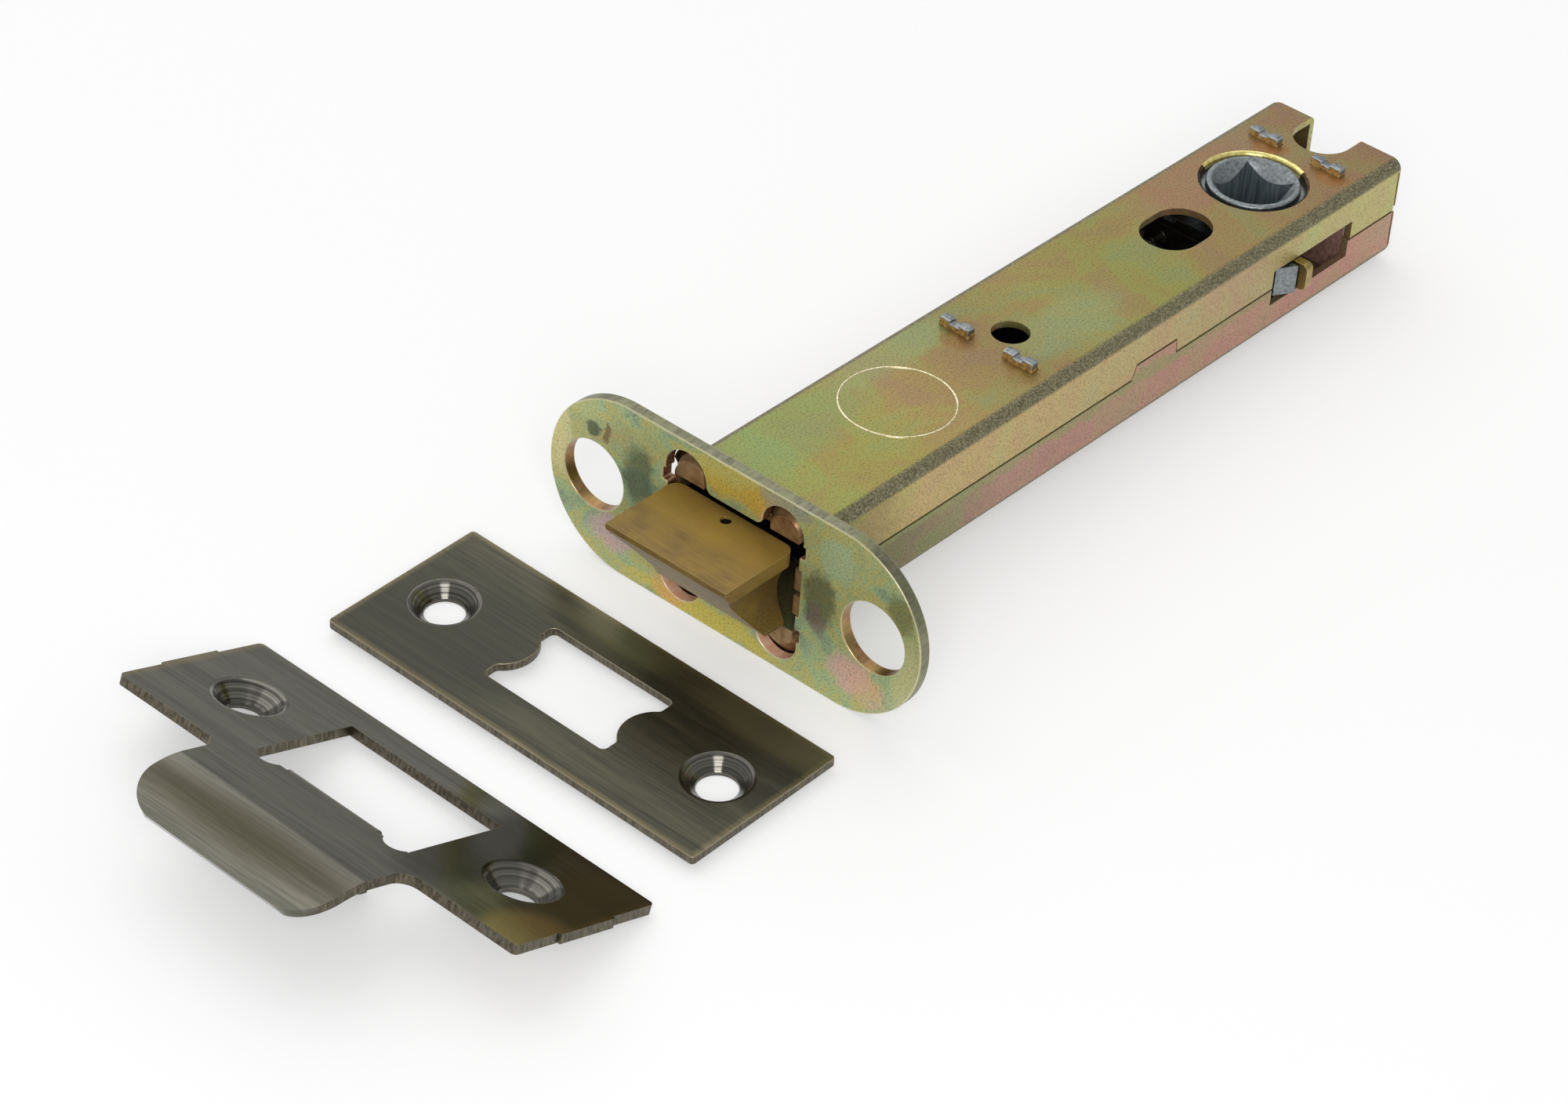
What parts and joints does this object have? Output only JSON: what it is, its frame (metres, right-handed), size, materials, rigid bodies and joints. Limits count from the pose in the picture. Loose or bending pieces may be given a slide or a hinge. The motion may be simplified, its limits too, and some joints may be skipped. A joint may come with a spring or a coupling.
{
  "type": "door latch",
  "caption": "Heavy tubular mortice latch with a sprung bevelled bolt and square spindle hub, lying with its face plate and lipped strike plate.",
  "frame": {"origin": "middle of the forend's front face, midway between its two screw holes", "axes": "+X into the door along the case, +Z along the spindle axis out of the side shown, +Y along the forend"},
  "size_m": [0.2105, 0.0721, 0.0285],
  "materials": {
    "passivated_steel": "zinc plated, yellow passivated",
    "passivated_forend": "zinc plated, yellow passivated, mottled",
    "cast_zinc": "zinc die casting, satin",
    "bolt_brass": "satin, finely ground",
    "pin_steel": "plain steel",
    "drawbar_steel": "zinc plated, yellow passivated",
    "spring_steel": "bright wire",
    "aged_bronze": "darkened, brushed lengthwise, worn at the edges"
  },
  "bodies": {
    "case": {"case_upper": "passivated_steel", "case_lower": "passivated_steel", "forend_plate": "passivated_forend", "front_block": "cast_zinc", "rear_block": "cast_zinc", "bolt_spring": "spring_steel", "lever_spring_left": "spring_steel", "lever_spring_right": "spring_steel", "face_plate": "aged_bronze", "strike_plate": "aged_bronze"},
    "bolt": {"latch_bolt": "bolt_brass", "bolt_pin": "pin_steel", "drawbar": "drawbar_steel"},
    "hub": {"hub": "cast_zinc"},
    "spring_plate": {"spring_plate": "drawbar_steel"}
  },
  "joints": [
    {"name": "hub_turn", "type": "hinge", "parent": "case", "child": "hub", "pos_m": [0.108, 0, 0], "axis": [0, 0, 1], "range_deg": [0, 48]},
    {"name": "bolt_slide", "type": "slide", "parent": "case", "child": "bolt", "axis": [1, 0, 0], "range_m": [0, 0.0115], "stiffness_N_per_m": 250, "springref_m": -0.01, "deforming": ["bolt_spring"]},
    {"name": "plate_slide", "type": "slide", "parent": "case", "child": "spring_plate", "axis": [1, 0, 0], "range_m": [-0.0068, 0], "stiffness_N_per_m": 400, "springref_m": 0.006, "deforming": ["lever_spring_left", "lever_spring_right"]}
  ],
  "couplings": [
    {"joint": "hub_turn", "follows": "bolt_slide", "rad_per_m": 72.84},
    {"joint": "plate_slide", "follows": "bolt_slide", "ratio": -0.5842}
  ]
}
